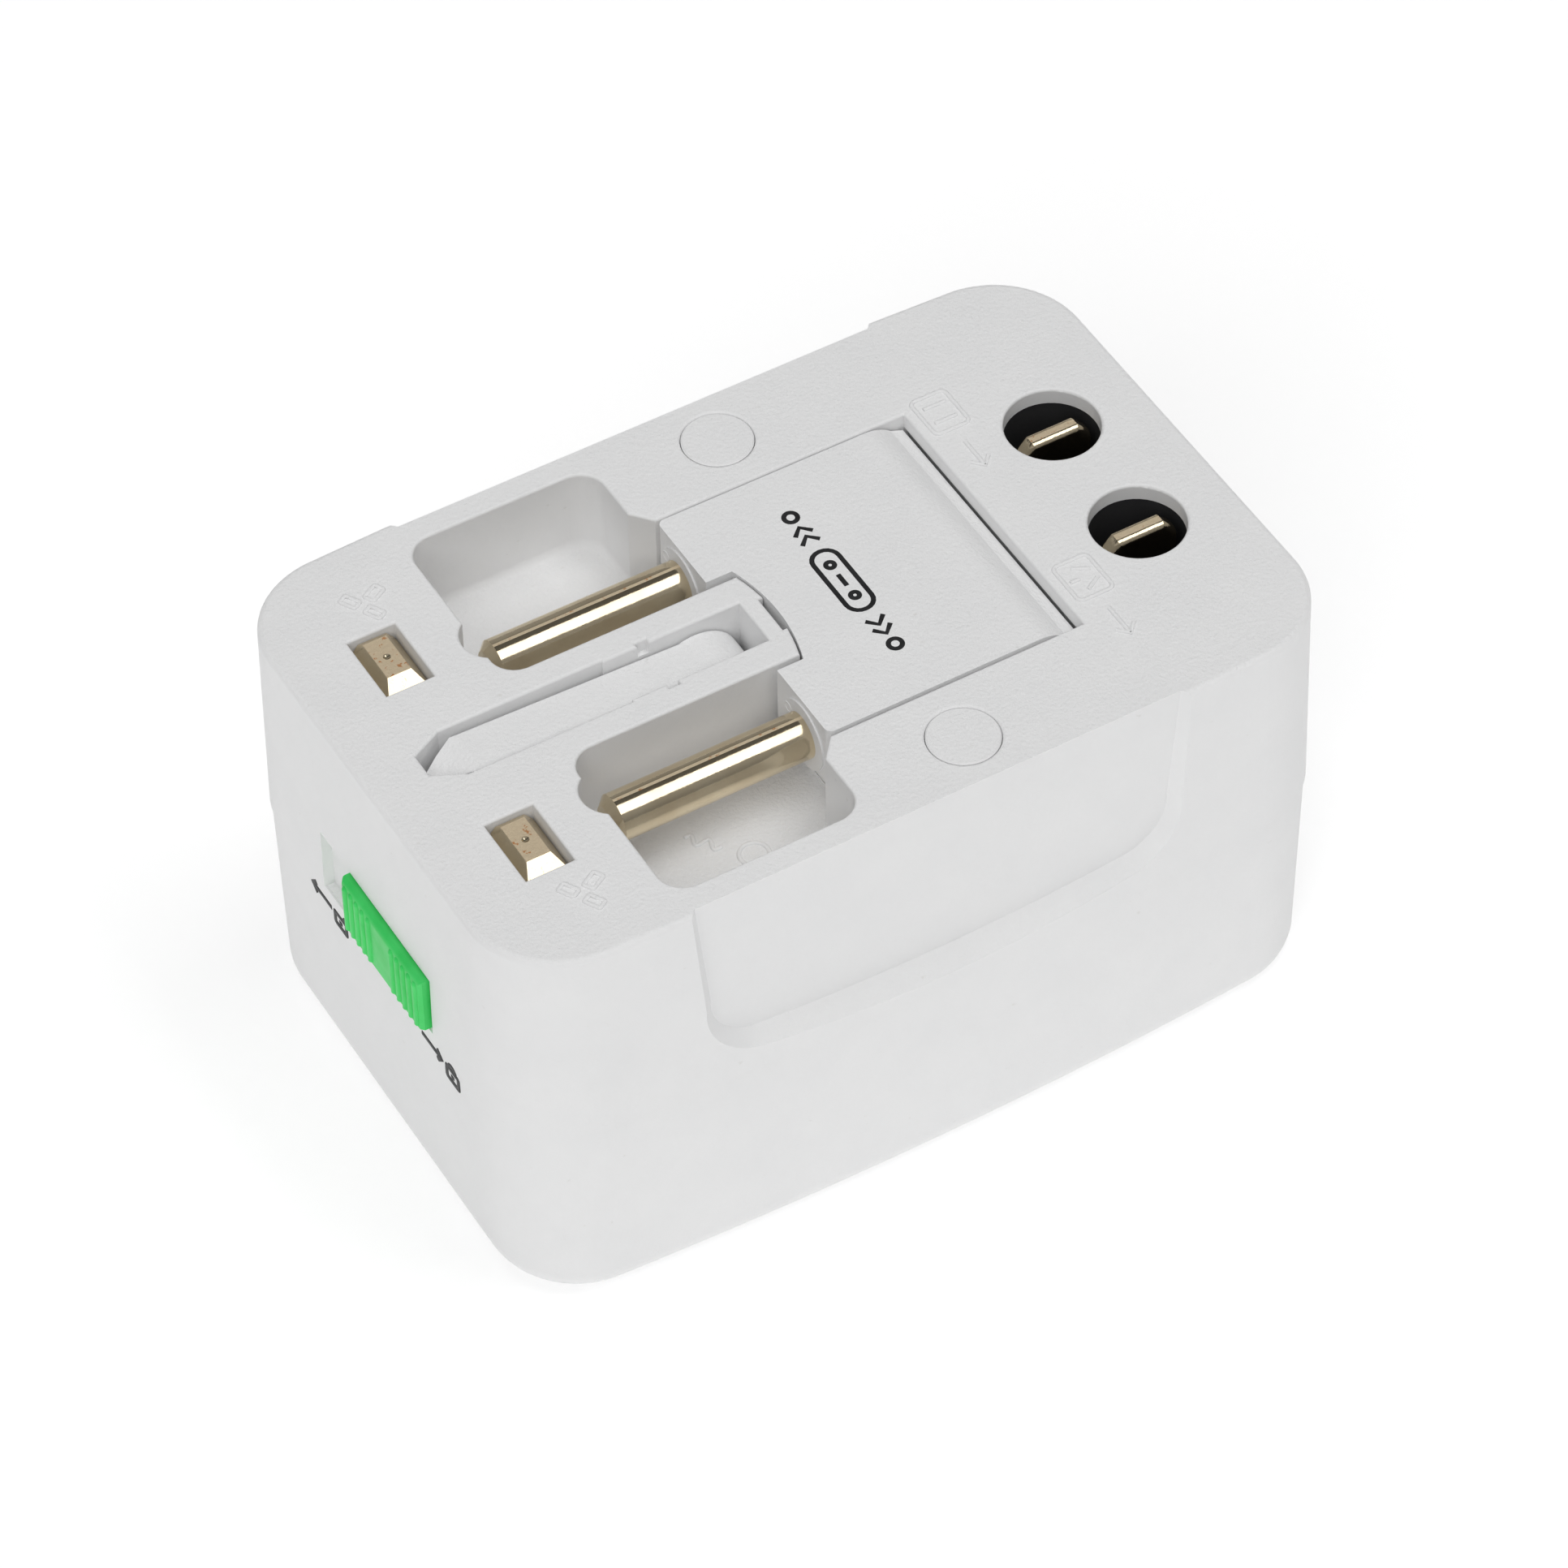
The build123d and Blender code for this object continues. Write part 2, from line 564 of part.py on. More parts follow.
# ---------------------------------------------------------------- European block
def make_eu_block():
    bottom_z = EU_AXIS_Z - EU_R
    profile = [
        (EU_BLOCK_LEFT_X, bottom_z),
        (EU_AXIS_X, bottom_z),
        (EU_AXIS_X, EU_AXIS_Z),
        (EU_END_X, EU_AXIS_Z),
        (EU_END_X, HEIGHT - EU_END_DROP),
        (EU_AXIS_X, HEIGHT),
        (EU_BLOCK_LEFT_X, HEIGHT),
    ]
    block = side_prism(profile, EU_BLOCK_HALF_Y)
    notch = box((EU_BLOCK_LEFT_X - 1, 0), (-EU_NOTCH_HALF_Y, EU_NOTCH_HALF_Y), (bottom_z, HEIGHT))
    # the notch widens downwards, so that its edge clears the rib as the block swings up
    notch_r = RIB_ARC_R + RIB_GAP
    cone = Cone(notch_r + NOTCH_DRAFT, notch_r, HEIGHT - bottom_z)
    block -= notch & Pos(RIB_END_X - RIB_ARC_R, 0, EU_AXIS_Z) * cone
    low_edges = block.edges().filter_by(Axis.Y).filter_by_position(Axis.Z, bottom_z - 0.1, bottom_z + 0.1)
    low_edges = [edge for edge in low_edges if edge.center().X < EU_BLOCK_LEFT_X + 0.1]
    block = fillet(low_edges, 1.2)
    upright = block.edges().filter_by(Axis.Z)
    corner = [edge for edge in upright if abs(edge.center().Y) > 13 and edge.center().X < 0]
    block = fillet(corner, 0.6)
    block += axle(EU_AXIS_X, EU_AXIS_Z, EU_BLOCK_HALF_Y, EU_R)
    collar = Pos(EU_BLOCK_LEFT_X, EU_HALF_SPACING, EU_AXIS_Z) * Rot(0, 90, 0)
    block += both_sides(collar * Cylinder(EU_COLLAR_R, 2 * (EU_BLOCK_LEFT_X - EU_COLLAR_X)))
    block -= both_sides(along_x(EU_COLLAR_X - 1, EU_PIN_ROOT_X, EU_ROOT_R))
    block -= axle(EU_AXIS_X, EU_AXIS_Z, EU_BLOCK_HALF_Y + 1, EU_AXLE_R + RUNNING_GAP)
    return one_solid(block)


def along_x(start_x, end_x, radius):
    """Cylinder on the axis of the +Y round pin."""
    middle = Pos((start_x + end_x) / 2, EU_HALF_SPACING, EU_AXIS_Z)
    return middle * Rot(0, 90, 0) * Cylinder(radius, end_x - start_x)


def eu_pin():
    """Round pin: full size outside the block, with a thinner root held inside it."""
    pin = along_x(EU_PIN_TIP_X, EU_COLLAR_X, EU_PIN_R)
    pin = chamfer(pin.faces().sort_by(Axis.X)[0].edges(), 0.7)
    return pin + along_x(EU_COLLAR_X - 0.1, EU_PIN_ROOT_X, EU_ROOT_R)


def make_eu_pin_live():
    return one_solid(eu_pin())


def make_eu_pin_neutral():
    return one_solid(mirror(eu_pin(), Plane.XZ))


# ---------------------------------------------------------------- earth pin
def make_earth_pin():
    """Plastic earth pin with a narrow nose: made standing, then folded down towards -X."""
    nose = [
        (EARTH_HALF_Y, 0),
        (EARTH_HALF_Y, EARTH_LENGTH - 3.0),
        (1.3, EARTH_LENGTH - 1.3),
        (0.5, EARTH_LENGTH),
    ]
    outline_points = nose + [(-y, z) for y, z in reversed(nose)]
    face = make_face(Polyline(*[(0, y, z) for y, z in outline_points], close=True))
    shaft = extrude(face, EARTH_R, both=True, dir=(1, 0, 0))
    for side in (-1, 1):
        # the nose also slopes down from both broad faces
        slope = [(side * EARTH_R, EARTH_LENGTH - 3.4), (side * 5, EARTH_LENGTH - 3.4), (side * 5, 30)]
        slope += [(side * (EARTH_R - 1.3), 30), (side * (EARTH_R - 1.3), EARTH_LENGTH)]
        shaft -= side_prism(slope, 5)
    ridge = shaft.edges().filter_by(Axis.Z).filter_by(lambda edge: abs(edge.center().X) > EARTH_R - 0.1)
    shaft = chamfer(ridge, 0.3)
    shaft += axle(0, 0, EARTH_HALF_Y, EARTH_R)
    shaft -= axle(0, 0, EARTH_HALF_Y + 1, EARTH_AXLE_R + RUNNING_GAP)
    folded = Rot(0, -EARTH_SWING_DEG, 0) * shaft
    return one_solid(Pos(EARTH_X, 0, HEIGHT - EARTH_DEPTH) * folded)


# ---------------------------------------------------------------- British pin carriage
def make_uk_carriage():
    arm = box(UK_ARM_X, UK_ARM_Y, (UK_BASE_Z, UK_ARM_TOP_Z))
    bar_x = (UK_ARM_X[0] + 1.5, UK_ARM_X[1] - 1.5)
    bar = box(bar_x, (-UK_ARM_Y[0] - 1, UK_ARM_Y[0] + 1), (UK_BASE_Z, UK_BAR_TOP_Z))
    carriage = both_sides(arm) + bar
    carriage = chamfer(carriage.edges().filter_by(Axis.Z), 0.5)
    x = (UK_X - UK_PIN_X / 2, UK_X + UK_PIN_X / 2)
    y = (UK_HALF_SPACING - UK_PIN_Y / 2, UK_HALF_SPACING + UK_PIN_Y / 2)
    carriage -= both_sides(box(x, y, (UK_ARM_TOP_Z - 10, 60)))
    return one_solid(carriage)


def uk_pin(inner_bevel, outer_bevel):
    """Flat British pin on the +Y side with a bevelled tip and a punch mark in its end."""
    x = (UK_X - UK_PIN_X / 2, UK_X + UK_PIN_X / 2)
    y = (UK_HALF_SPACING - UK_PIN_Y / 2, UK_HALF_SPACING + UK_PIN_Y / 2)
    tip_z = HEIGHT - UK_TIP_DEPTH
    pin = box(x, y, (UK_ARM_TOP_Z - 10, tip_z))
    top = pin.faces().sort_by(Axis.Z)[-1]
    pin = chamfer(top.edges().filter_by(Axis.Y), length=0.95, length2=1.2, reference=top)
    for end_y, bevel in ((y[0], inner_bevel), (y[1], -outer_bevel)):
        wedge = [(end_y, tip_z - UK_BEVEL_SLOPE * abs(bevel)), (end_y + bevel, tip_z), (end_y, tip_z)]
        face = make_face(Polyline(*[(0, py, pz) for py, pz in wedge], close=True))
        pin -= Pos(UK_X, 0, 0) * extrude(face, UK_PIN_X, both=True, dir=(1, 0, 0))
    flat_y = (y[0] + inner_bevel + y[1] - outer_bevel) / 2
    return pin - Pos(UK_X, flat_y, tip_z + 0.25) * Sphere(0.4)


def make_uk_pin_live():
    return one_solid(uk_pin(1.75, 0.45))


def make_uk_pin_neutral():
    return one_solid(mirror(uk_pin(0.45, 1.75), Plane.XZ))


# ---------------------------------------------------------------- flat blades
def make_us_carriage():
    plate = rounded_block(US_PLATE_X, (-US_PLATE_HALF_Y, US_PLATE_HALF_Y), US_PLATE_Z, 3.0)
    plate -= both_sides(post(US_X, US_HALF_SPACING, (0, 30), SPIGOT_R + RUNNING_GAP))
    return one_solid(plate)


def turret():
    """Round turret with its pivot through the carriage plate and the slot for its blade."""
    bottom = US_PLATE_Z[1] + 0.1
    body = post(US_X, US_HALF_SPACING, (bottom, TURRET_TOP_Z), TURRET_R)
    body = chamfer(body.faces().sort_by(Axis.Z)[-1].edges(), 0.3)
    body += post(US_X, US_HALF_SPACING, (US_PLATE_Z[0] - 1.1, bottom + 0.1), SPIGOT_R)
    body += post(US_X, US_HALF_SPACING, (US_PLATE_Z[0] - 1.1, US_PLATE_Z[0] - 0.1), SPIGOT_R + 1)
    return body - blade_bar((US_PLATE_Z[1] + 1, 60))


def blade_bar(z):
    x = (US_X - BLADE_X / 2, US_X + BLADE_X / 2)
    y = (US_HALF_SPACING - BLADE_Y / 2, US_HALF_SPACING + BLADE_Y / 2)
    return box(x, y, z)


def blade():
    bar = blade_bar((US_PLATE_Z[1] + 1, HEIGHT - BLADE_TIP_DEPTH))
    top = bar.faces().sort_by(Axis.Z)[-1]
    bar = chamfer(top.edges().filter_by(Axis.Y), length=1.05)
    slopes = bar.faces().filter_by(lambda face: face.normal_at().Z > 0.3)
    long_edges = [edge for face in slopes for edge in face.edges() if abs(edge.tangent_at(0.5).Y) < 0.1]
    return fillet(long_edges, BLADE_ROUND_R)


def make_us_turret_live():
    return one_solid(turret())


def make_us_turret_neutral():
    return one_solid(mirror(turret(), Plane.XZ))


def make_us_blade_live():
    return one_solid(blade())


def make_us_blade_neutral():
    return one_solid(mirror(blade(), Plane.XZ))


# ---------------------------------------------------------------- lock slider
def make_lock_slider():
    """Thumb slider: rounded top edge and upright ridges on both sides of a flat middle."""
    back_x = RECESS_FLOOR_X - 0.15
    button = box((SLIDER_FACE_X, back_x), SLIDER_Y, SLIDER_Z)
    front = button.faces().sort_by(Axis.X)[0]
    button = chamfer(front.edges().filter_by(Axis.Z), 0.3)
    front = button.faces().sort_by(Axis.X)[0]
    button = fillet(front.edges().filter_by(Axis.Y).sort_by(Axis.Z)[-1], 0.6)
    middle_y = (SLIDER_Y[0] + SLIDER_Y[1]) / 2
    ridge_x = SLIDER_FACE_X + SLIDER_RIDGE_R - 0.22
    ridge_z = (SLIDER_Z[0] + 0.25, SLIDER_Z[1] - 0.75)
    for side in (-1, 1):
        for step in range(SLIDER_RIDGES):
            y = middle_y + side * (SLIDER_FLAT_HALF + 0.4 + SLIDER_RIDGE_PITCH * step)
            button += post(ridge_x, y, ridge_z, SLIDER_RIDGE_R)
            button += Pos(ridge_x, y, ridge_z[1]) * Sphere(SLIDER_RIDGE_R)
    button += box((back_x - 0.2, LOCK_PLATE_X[0]), STEM_Y, STEM_Z)
    return one_solid(button)


def make_lock_plate():
    """Flat lock bar behind the slider, with a finger beside each pin carriage."""
    upright = box(LOCK_PLATE_X, LOCK_BAR_Y, (STEM_Z[0] - 0.6, LOCK_BAR_Z[1]))
    bar = box((LOCK_PLATE_X[0], LOCK_BAR_END_X), LOCK_BAR_Y, LOCK_BAR_Z)
    return one_solid(upright + bar)


# ---------------------------------------------------------------- write every piece
PIECES = {
    "upper_shell": make_upper_shell,
    "lower_shell": make_lower_shell,
    "socket_plate": make_socket_plate,
    "screw_caps": make_screw_caps,
    "housing_screws": make_housing_screws,
    "contact_carrier": make_contact_carrier,
    "live_contact": make_live_contact,
    "neutral_contact": make_neutral_contact,
    "contact_rivets": make_contact_rivets,
    "blade_guide": make_blade_guide,
    "eu_axle": make_eu_axle,
    "earth_axle": make_earth_axle,
    "eu_wipers": make_eu_wipers,
    "socket_shutter": make_socket_shutter,
    "shutter_spring": make_shutter_spring,
    "eu_block": make_eu_block,
    "eu_pin_live": make_eu_pin_live,
    "eu_pin_neutral": make_eu_pin_neutral,
    "earth_pin": make_earth_pin,
    "uk_carriage": make_uk_carriage,
    "uk_pin_live": make_uk_pin_live,
    "uk_pin_neutral": make_uk_pin_neutral,
    "us_carriage": make_us_carriage,
    "us_turret_live": make_us_turret_live,
    "us_turret_neutral": make_us_turret_neutral,
    "us_blade_live": make_us_blade_live,
    "us_blade_neutral": make_us_blade_neutral,
    "lock_slider": make_lock_slider,
    "lock_plate": make_lock_plate,
}

os.makedirs("parts", exist_ok=True)
for name, make in PIECES.items():
    export_step(make(), f"parts/{name}.step")
    print(name)
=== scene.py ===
import json
import math

import bpy
from mathutils import Matrix, Vector


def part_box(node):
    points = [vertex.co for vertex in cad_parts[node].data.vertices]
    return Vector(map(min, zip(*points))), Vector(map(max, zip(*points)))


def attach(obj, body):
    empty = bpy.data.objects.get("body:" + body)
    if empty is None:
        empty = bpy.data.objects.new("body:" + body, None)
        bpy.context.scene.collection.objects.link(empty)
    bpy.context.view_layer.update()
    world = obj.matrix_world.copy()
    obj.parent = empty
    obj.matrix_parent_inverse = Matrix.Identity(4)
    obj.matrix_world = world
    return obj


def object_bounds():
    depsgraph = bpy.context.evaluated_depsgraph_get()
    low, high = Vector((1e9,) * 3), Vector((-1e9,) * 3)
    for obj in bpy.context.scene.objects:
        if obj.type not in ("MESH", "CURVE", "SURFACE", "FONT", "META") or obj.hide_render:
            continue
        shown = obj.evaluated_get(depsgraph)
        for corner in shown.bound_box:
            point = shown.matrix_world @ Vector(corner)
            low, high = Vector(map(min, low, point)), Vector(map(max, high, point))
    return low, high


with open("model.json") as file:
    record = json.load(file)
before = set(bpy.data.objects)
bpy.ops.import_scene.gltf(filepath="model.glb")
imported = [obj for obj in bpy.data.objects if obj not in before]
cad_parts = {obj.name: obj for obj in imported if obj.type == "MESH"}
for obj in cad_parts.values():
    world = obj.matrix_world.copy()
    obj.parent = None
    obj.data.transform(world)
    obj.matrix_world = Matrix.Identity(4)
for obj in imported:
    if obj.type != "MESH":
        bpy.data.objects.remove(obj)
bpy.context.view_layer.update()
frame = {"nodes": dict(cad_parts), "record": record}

MM = 0.001
DOME_RIM = 0.12
DOME_TOP = 0.44
SOFT_BOX_AT = (0.354, -0.255, 0.94)
SOFT_BOX_SIZE = (0.36, 0.76)
SOFT_BOX_WATTS = 1.6
KEY_AT = (-1.14, -1.10, 1.36)
KEY_SIZE = (1.2, 1.2)
KEY_WATTS = 11.5
OVERHEAD_AT = (0, 0, 2.44)
OVERHEAD_SIZE = (1.6, 1.6)
OVERHEAD_WATTS = 12.0
# brightness that bright metal sees around it, from -Y (0) to +Y (1)
METAL_CARDS = ((0, 0.16), (0.12, 0.28), (0.42, 0.34), (0.54, 0.10), (0.76, 0.10), (0.90, 0.26), (1, 0.30))
WHOLE_LOW, WHOLE_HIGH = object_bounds()
FACE_Z = WHOLE_HIGH[2]
GRAIN_STEP = 0.00012
FLOOR_HALF = 3.0
FLOOR_DROP = 0.00005
POCKET_DEPTH = 8.0
# turn that lays a sign's own plane against the -X end: its right is -Y, and its up is +Z
AGAINST_END = Matrix(((0, 0, -1), (-1, 0, 0), (0, 1, 0))).to_4x4()


# ------------------------------------------------------------------ camera
def make_camera():
    """Camera on the long-lens line of sight the object is shown from."""
    azimuth = math.radians(-29.573)
    elevation = math.radians(47.805)
    roll = math.radians(-1.215)
    lens_mm = 153.23
    distance = 520.51 * MM
    off_right = -0.03 * MM
    off_up = -13.77 * MM
    back = Vector((
        math.sin(azimuth) * math.cos(elevation),
        -math.cos(azimuth) * math.cos(elevation),
        math.sin(elevation),
    ))
    level_right = Vector((math.cos(azimuth), math.sin(azimuth), 0))
    level_up = back.cross(level_right)
    right = math.cos(roll) * level_right + math.sin(roll) * level_up
    up = math.cos(roll) * level_up - math.sin(roll) * level_right
    place = right * off_right + up * off_up + back * distance + Vector((0, 0, FACE_Z))
    data = bpy.data.cameras.new("camera")
    data.lens = lens_mm
    data.sensor_width = 36.0
    data.clip_start = 0.01
    data.clip_end = 20.0
    camera = bpy.data.objects.new("camera", data)
    bpy.context.scene.collection.objects.link(camera)
    turn = Matrix((right, up, back)).transposed().to_4x4()
    camera.matrix_world = Matrix.Translation(place) @ turn
    bpy.context.scene.camera = camera


# ------------------------------------------------------------------ node helpers
class Nodes:
    """A material's node tree, with short ways to add and join nodes."""

    def __init__(self, name):
        self.material = bpy.data.materials.new(name)
        self.material.use_nodes = True
        self.tree = self.material.node_tree
        self.shader = self.tree.nodes["Principled BSDF"]
        self.place = self.add("ShaderNodeTexCoord").outputs["Object"]

    def add(self, kind, **values):
        node = self.tree.nodes.new(kind)
        for key, value in values.items():
            if hasattr(node, key):
                setattr(node, key, value)
            else:
                node.inputs[key].default_value = value
        return node

    def join(self, output, target):
        self.tree.links.new(output, target)

    def noise(self, scale, detail=2.0, rough=0.5):
        node = self.add("ShaderNodeTexNoise")
        node.inputs["Scale"].default_value = scale
        node.inputs["Detail"].default_value = detail
        node.inputs["Roughness"].default_value = rough
        self.join(self.place, node.inputs["Vector"])
        return node.outputs["Fac"]

    def spread(self, value, low, high, from_low=0.3, from_high=0.7):
        node = self.add("ShaderNodeMapRange")
        node.inputs["From Min"].default_value = from_low
        node.inputs["From Max"].default_value = from_high
        node.inputs["To Min"].default_value = low
        node.inputs["To Max"].default_value = high
        self.join(value, node.inputs["Value"])
        return node.outputs["Result"]

    def blend(self, factor, first, second):
        node = self.add("ShaderNodeMix", data_type="RGBA")
        self.join(factor, node.inputs["Factor"])
        for value, socket in ((first, node.inputs["A"]), (second, node.inputs["B"])):
            if isinstance(value, tuple):
                socket.default_value = (*value, 1)
            else:
                self.join(value, socket)
        return node.outputs["Result"]

    def math(self, operation, first, second):
        node = self.add("ShaderNodeMath", operation=operation)
        for value, socket in ((first, node.inputs[0]), (second, node.inputs[1])):
            if isinstance(value, (int, float)):
                socket.default_value = value
            else:
                self.join(value, socket)
        return node.outputs[0]

    def bump(self, height, strength, distance, normal=None):
        node = self.add("ShaderNodeBump")
        node.inputs["Strength"].default_value = strength
        node.inputs["Distance"].default_value = distance
        self.join(height, node.inputs["Height"])
        if normal is not None:
            self.join(normal, node.inputs["Normal"])
        return node.outputs["Normal"]


# ------------------------------------------------------------------ materials
def shell_plastic():
    """Pale grey moulded plastic: fine spark-eroded grain on faces that look up, smoother sides."""
    n = Nodes("shell_plastic")
    tone = n.spread(n.noise(180, 3), 0.0, 1.0)
    colour = n.blend(tone, (0.860, 0.861, 0.863), (0.880, 0.880, 0.880))
    specks = n.spread(n.noise(1100, 2), 0.0, 0.35, 0.74, 0.80)
    n.join(n.blend(specks, colour, (0.70, 0.69, 0.66)), n.shader.inputs["Base Color"])
    n.join(n.spread(n.noise(900, 2), 0.42, 0.52), n.shader.inputs["Roughness"])
    n.shader.inputs["Specular IOR Level"].default_value = 0.4
    parts = n.add("ShaderNodeSeparateXYZ")
    geometry = n.add("ShaderNodeNewGeometry")
    n.join(geometry.outputs["Normal"], parts.inputs[0])
    facing_up = n.spread(parts.outputs["Z"], 0.25, 1.0, 0.6, 0.98)
    grain = n.math("MULTIPLY", n.noise(3000, 3, 0.6), facing_up)
    n.join(n.bump(grain, 0.9, GRAIN_STEP), n.shader.inputs["Normal"])
    return n.material


def inner_plastic():
    """Slightly warmer smooth plastic of the pieces inside."""
    n = Nodes("inner_plastic")
    tone = n.spread(n.noise(120, 2), 0.0, 1.0)
    n.join(n.blend(tone, (0.70, 0.70, 0.68), (0.76, 0.76, 0.74)), n.shader.inputs["Base Color"])
    n.join(n.spread(n.noise(700, 2), 0.38, 0.5), n.shader.inputs["Roughness"])
    n.join(n.bump(n.noise(2500, 2), 0.15, 0.00005), n.shader.inputs["Normal"])
    return n.material


def black_plastic():
    """Satin black plastic of the blade guide, the turrets and their carriage."""
    n = Nodes("black_plastic")
    tone = n.spread(n.noise(200, 2), 0.0, 1.0)
    n.join(n.blend(tone, (0.030, 0.030, 0.031), (0.044, 0.044, 0.047)), n.shader.inputs["Base Color"])
    n.join(n.spread(n.noise(900, 2), 0.35, 0.5), n.shader.inputs["Roughness"])
    n.join(n.bump(n.noise(3500, 2), 0.2, 0.00005), n.shader.inputs["Normal"])
    return n.material


def green_plastic():
    """Vivid green satin plastic with a faint milky depth."""
    n = Nodes("green_plastic")
    tone = n.spread(n.noise(350, 3), 0.0, 1.0)
    n.join(n.blend(tone, (0.045, 0.660, 0.125), (0.070, 0.740, 0.165)), n.shader.inputs["Base Color"])
    n.join(n.spread(n.noise(900, 2), 0.34, 0.46), n.shader.inputs["Roughness"])
    n.shader.inputs["Specular IOR Level"].default_value = 0.3
    n.join(n.bump(n.noise(3000, 2), 0.15, 0.00005), n.shader.inputs["Normal"])
    return n.material


def plated_metal(name="plated_metal", wear=0.14):
    """Warm bright nickel plate: polished round the pins, cut rough and copper-flecked on the flat tips."""
    n = Nodes(name)
    cloud = n.spread(n.noise(320, 4, 0.6), 0.0, 1.0, 0.35, 0.7)
    base = n.blend(cloud, (0.82, 0.71, 0.51), (0.74, 0.62, 0.43))
    parts = n.add("ShaderNodeSeparateXYZ")
    geometry = n.add("ShaderNodeNewGeometry")
    n.join(geometry.outputs["True Normal"], parts.inputs[0])
    flat_tip = n.spread(parts.outputs["Z"], 0.0, 1.0, 0.995, 0.9995)
    flecks = n.spread(n.noise(1500, 3, 0.7), 0.0, 0.9, 0.60, 0.66)
    tip_colour = n.blend(flecks, (0.80, 0.66, 0.46), (0.60, 0.26, 0.09))
    n.join(n.blend(flat_tip, base, tip_colour), n.shader.inputs["Base Color"])
    n.join(n.math("SUBTRACT", 1.0, n.math("MULTIPLY", flat_tip, 0.55)), n.shader.inputs["Metallic"])
    polish = n.spread(n.noise(500, 3), 0.08, 0.14)
    n.join(n.math("ADD", polish, n.math("MULTIPLY", flat_tip, 0.42)), n.shader.inputs["Roughness"])
    drawn = n.bump(n.noise(1300, 4, 0.6), wear, 0.00006)
    cut = n.math("MULTIPLY", n.noise(3200, 3, 0.7), flat_tip)
    n.join(n.bump(cut, 0.9, GRAIN_STEP, drawn), n.shader.inputs["Normal"])
    return n.material


def contact_brass():
    """Yellow stamped brass strip."""
    n = Nodes("contact_brass")
    cloud = n.spread(n.noise(220, 3), 0.0, 1.0)
    n.join(n.blend(cloud, (0.78, 0.56, 0.24), (0.66, 0.45, 0.18)), n.shader.inputs["Base Color"])
    n.shader.inputs["Metallic"].default_value = 1.0
    n.join(n.spread(n.noise(600, 3), 0.25, 0.4), n.shader.inputs["Roughness"])
    n.join(n.bump(n.noise(1200, 3), 0.12, 0.00008), n.shader.inputs["Normal"])
    return n.material


def plain_steel():
    """Zinc-plated steel of the screws, axles and spring."""
    n = Nodes("plain_steel")
    cloud = n.spread(n.noise(260, 3), 0.0, 1.0)
    n.join(n.blend(cloud, (0.56, 0.57, 0.58), (0.46, 0.47, 0.49)), n.shader.inputs["Base Color"])
    n.shader.inputs["Metallic"].default_value = 1.0
    n.join(n.spread(n.noise(600, 3), 0.22, 0.36), n.shader.inputs["Roughness"])
    n.join(n.bump(n.noise(1500, 3), 0.12, 0.00008), n.shader.inputs["Normal"])
    return n.material


def black_ink():
    """Pad-printed black ink, slightly uneven."""
    n = Nodes("black_ink")
    tone = n.spread(n.noise(900, 3), 0.0, 1.0)
    n.join(n.blend(tone, (0.010, 0.010, 0.011), (0.024, 0.024, 0.026)), n.shader.inputs["Base Color"])
    n.join(n.spread(n.noise(1500, 2), 0.45, 0.6), n.shader.inputs["Roughness"])
    return n.material


def floor_material():
    """White paper sweep that stays bright under the object."""
    n = Nodes("floor_material")
    tone = n.spread(n.noise(6, 2), 0.0, 1.0)
    n.join(n.blend(tone, (0.955, 0.955, 0.955), (0.965, 0.965, 0.965)), n.shader.inputs["Base Color"])
    n.shader.inputs["Roughness"].default_value = 0.9
    n.shader.inputs["Specular IOR Level"].default_value = 0.1
    n.shader.inputs["Emission Color"].default_value = (1, 1, 1, 1)
    n.shader.inputs["Emission Strength"].default_value = 0.27
    return n.material


SLOT_MATERIALS = {
    "white_shell": shell_plastic,
    "inner_white": inner_plastic,
    "black_plastic": black_plastic,
    "green_plastic": green_plastic,
    "plated_pin": plated_metal,
    "contact_brass": contact_brass,
    "steel": plain_steel,
}


def dress_cad():
    """Gives every CAD node the material of its slot."""
    made = {slot: make() for slot, make in SLOT_MATERIALS.items()}
    cut_tips = plated_metal("plated_metal_cut", 0.5)
    for entry in frame["record"]["subparts"]:
        node = frame["nodes"][entry["node"]]
        node.data.materials.clear()
        worn = entry["node"].startswith(("uk_pin", "us_blade"))
        node.data.materials.append(cut_tips if worn else made[entry["material_slot"]])
    return made


# ------------------------------------------------------------------ printed and moulded signs
def arc(centre, radius, start_deg, end_deg, steps=16):
    """Points along an arc in the sign's own plane."""
    points = []
    for step in range(steps + 1):
        angle = math.radians(start_deg + (end_deg - start_deg) * step / steps)
        points.append((centre[0] + radius * math.cos(angle), centre[1] + radius * math.sin(angle)))
    return points


def ring(centre, radius):
    return arc(centre, radius, 0, 360, 24)


def bar(centre, length, turn_deg):
    """Straight stroke with its middle at the centre."""
    reach = Vector((math.cos(math.radians(turn_deg)), math.sin(math.radians(turn_deg)))) * length / 2
    return [(centre[0] - reach.x, centre[1] - reach.y), (centre[0] + reach.x, centre[1] + reach.y)]


def frame_outline(centre, half_width, half_height, radius):
    """Closed outline of a rectangle with round corners."""
    points = []
    for corner, (side_x, side_y) in enumerate(((1, 1), (-1, 1), (-1, -1), (1, -1))):
        middle = (centre[0] + side_x * (half_width - radius), centre[1] + side_y * (half_height - radius))
        points += arc(middle, radius, 90 * corner, 90 * corner + 90, 5)
    return points + points[:1]


